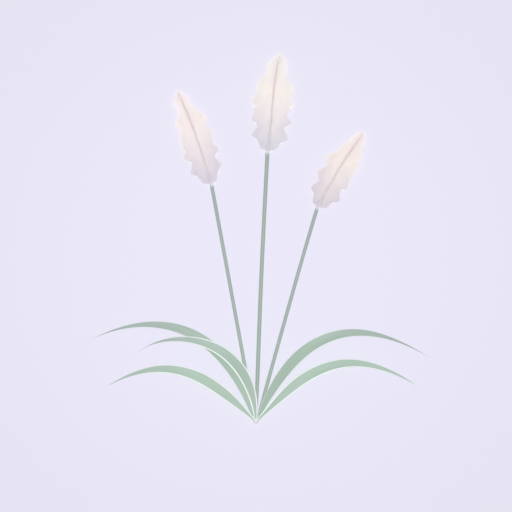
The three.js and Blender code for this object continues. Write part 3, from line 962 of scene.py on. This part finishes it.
def plumeFinish(name, tint, settings):
    finish = Finish(name, settings["look"])
    along = finish.mark("along")
    bands = []
    for band in ("inner", "outer"):
        colours = [np.add(colour, tint) for colour in settings[band]]
        bands.append(finish.band(along, zip(settings["places"], colours), settings["gains"][band]))
    # painted light: the outer band's higher gain lightens the hairs towards the outline, against the shade
    # on the sloping sides
    body = finish.mixed(finish.mark("outShare"), *bands)
    shade = finish.ranged(finish.mark("tone"), 0.0, 1.0, settings["shadeShare"], 0.0)
    body = finish.mixed(shade, body, paintFor(settings["shade"]))
    # pale tips along the outline: whiter hair ends and, partly, painted light against the shade there
    tips = finish.band(along, settings["tips"], settings["gains"]["tips"])
    finish.colour(finish.mixed(finish.mark("tip"), body, tips))
    return finish.material


def growPlume(name, form, settings, material, seed):
    draw = np.random.default_rng(seed)
    pile = Pile(form, settings["tipWidth"])
    for side in (-1, 1):
        for layer in settings["layers"]:
            growLayer(pile, side, layer, settings, draw)
        growSilk(pile, side, settings, draw)
        growFringe(pile, side, settings, draw)
    points, needles, along, outShare, tip, tone = pile.gathered()
    core, coreAlong, coreShare = makeCore(form, settings)
    marks = {
        "along": np.clip(np.concatenate([along, coreAlong]) / form.length, 0, 1),
        "outShare": np.concatenate([outShare, coreShare]),
        "tip": np.concatenate([tip, np.zeros(len(coreAlong))]),
        "tone": np.concatenate([tone, np.full(len(coreAlong), settings["core"]["tone"])]),
    }
    places = np.concatenate([points, core.reshape(-1, 3)])
    faces = needles.tolist() + barFaces(*core.shape[:2], pile.total)
    piece = addPiece("plume_" + name + "_racemes", places, faces, material, marks, len(needles))
    hangOn(piece, "plume_" + name)
    silkyPieces.objects.link(piece)
    print("stage: plume", name, "faces", len(faces))


# Ribs: the line that shows down the middle of each plume, slimmer to the tip
ribSettings = {
    "baseRadius": 0.0017,
    "endRadius": 0.0013,
    "pastRib": 0.012,
    "pointShare": 0.06,  # the share of a rib over which its end narrows
    "sides": 20,
    "steps": 90,
    "knots": 24,
    "knotShare": 0.07,
    "colours": [(0.015, (240, 237, 245)), (0.035, (226, 220, 230)), (0.3, (227, 218, 223)),
                (0.6, (233, 222, 225)), (0.82, (232, 219, 220)), (1.0, (240, 231, 231))],
    "darker": (203, 193, 199),
    "gain": 0.88,
    "look": {"roughness": 0.6, "specular": 0.25, "lineScales": (14.0, 12.0), "lineShare": 0.35,
             "relief": (0.3, 0.0002)},
}


def growRib(name, form, settings, material):
    run = np.linspace(0, 1, settings["steps"] + 1)
    shown = np.linspace(0, form.length - settings["pastRib"], len(run))
    places, side, lift = [form.read(table, shown) for table in (form.places, form.side, form.lift)]
    turns = turnsRound(settings["sides"])
    radius = settings["baseRadius"] + (settings["endRadius"] - settings["baseRadius"]) * run
    radius = radius * np.sqrt(np.clip((1 - run) / settings["pointShare"], 0.04, 1))
    knot = settings["knotShare"] * np.cos(2 * math.pi * settings["knots"] * run)[:, None] * np.sin(turns)
    rings = roundBar(places, side, lift, turns, radius[:, None] * (1 + knot))
    piece = addBar("rachis_" + name + "_rib", rings, material, barMarks(run, turns))
    hangOn(piece, "rachis_" + name)
    silkyPieces.objects.link(piece)


ribSilk = barFinish("rib_silk", ribSettings)
for seed, (plumeName, spec) in enumerate(plumeSettings["pieces"].items(), start=11):
    form = PlumeForm(spec, plumeSettings)
    plumeSilk = plumeFinish("plume_" + plumeName + "_silk", spec["tint"], plumeSettings)
    growPlume(plumeName, form, plumeSettings, plumeSilk, seed)
    growRib(plumeName, form, ribSettings, ribSilk)
print("stage: plumes and ribs", len(plumeSettings["pieces"]))


# Crown: sheaths wrapped round a pale base that the stems and the leaves grow out of
crownSettings = {
    "start": -0.002,
    "end": 0.012,
    "halfWidth": 0.0056,
    "halfHeight": 0.0104,
    "middle": 0.0082,
    "cutShare": 0.4,
    "taperStart": 0.02,
    "taperRun": 0.8,
    "slimShare": 0.9,
    "sides": 64,
    "steps": 28,
    "baseFlat": 0.98,
    "sheaths": 7,
    "sheathSides": 25,
    "sheathPlace": 2.4,  # radians from one sheath to the next
    "sheathTurn": 1.25,  # radians from a sheath's middle to its edge
    "sheathReach": (0.45, 0.08, 0.30),  # the first's share of the length, each next one's more, edges' less
    "sheathStep": 0.00012,
    "sheathFoot": 0.3,  # share of a sheath's thickness at its foot
    "thickness": 0.0004,
    "thinEdge": 0.8,
    "thinEnd": 0.7,
    "colours": [(0.0, (255, 253, 255)), (0.5, (252, 252, 255)), (0.8, (232, 238, 236)),
                (1.0, (208, 221, 213))],
    "darker": (168, 189, 177),
    "gain": 1.0,
    "look": {"roughness": 0.55, "specular": 0.3, "lineScales": (22.0, 1.5), "lineShare": 0.2,
             "relief": (0.4, 0.0003)},
}


# Rings of the crown at runs along it and turns round it, this far outside its own form
def crownRings(runs, turns, outside, settings, flat=1.0):
    belly = np.sin(math.pi * (settings["taperStart"] + settings["taperRun"] * runs))
    share = (settings["cutShare"] + (1 - settings["cutShare"]) * belly) * settings["slimShare"]
    length = settings["end"] - settings["start"]
    return np.stack([
        (share * settings["halfWidth"] + outside) * np.sin(turns),
        settings["start"] + runs * length,
        settings["middle"] + (share * settings["halfHeight"] + outside) * np.cos(turns) * flat,
    ], -1)


# One sheath: an outer and an inner layer, joined at the edges, thinner to its edges and its end
def sheathRings(k, run, spread, settings):
    first, more, less = settings["sheathReach"]
    runs = run * (first + more * k - less * np.abs(spread) ** 2)
    turns = settings["sheathPlace"] * k + spread * settings["sheathTurn"]
    layers = []
    for thickness in (settings["thickness"], 0):
        outside = thickness * (1 - settings["thinEdge"] * np.abs(spread) ** 4)
        outside = outside * (1 - settings["thinEnd"] * run ** 6)
        foot = settings["sheathFoot"]
        outside = (settings["sheathStep"] * (k + 1) + outside) * (foot + (1 - foot) * run)
        layers.append(crownRings(runs, turns, outside, settings))
    return [np.concatenate([outer, inner[:, ::-1]], axis=1) for outer, inner in (layers, (runs, runs))]


def growCrown(settings):
    run = np.linspace(0, 1, settings["steps"])[:, None]
    turns = turnsRound(settings["sides"])
    runs = np.repeat(run, len(turns), axis=1)
    base = crownRings(runs, turns, 0, settings, settings["baseFlat"])
    parts = [(base, runs, np.abs(turns / math.pi - 1))]
    spread = np.linspace(-1, 1, settings["sheathSides"])
    for k in range(settings["sheaths"]):
        parts.append((*sheathRings(k, run, spread, settings), np.concatenate([spread, spread[::-1]]) + k))
    faces, total = [], 0
    for rings, _, _ in parts:
        faces += barFaces(*rings.shape[:2], total)
        total += rings.shape[0] * rings.shape[1]
    places = np.concatenate([rings.reshape(-1, 3) for rings, _, _ in parts]) + tuftShift
    places[:, 2] = np.maximum(places[:, 2], 0.0)
    marks = {
        "along": np.concatenate([runs.ravel() for _, runs, _ in parts]),
        "turn": np.concatenate([np.tile(turn, len(run)) for _, _, turn in parts]),
    }
    piece = addPiece("crown_sheaths", places, faces, barFinish("crown_sheath", settings), marks)
    hangOn(piece, "crown")


growCrown(crownSettings)
print("stage: crown")
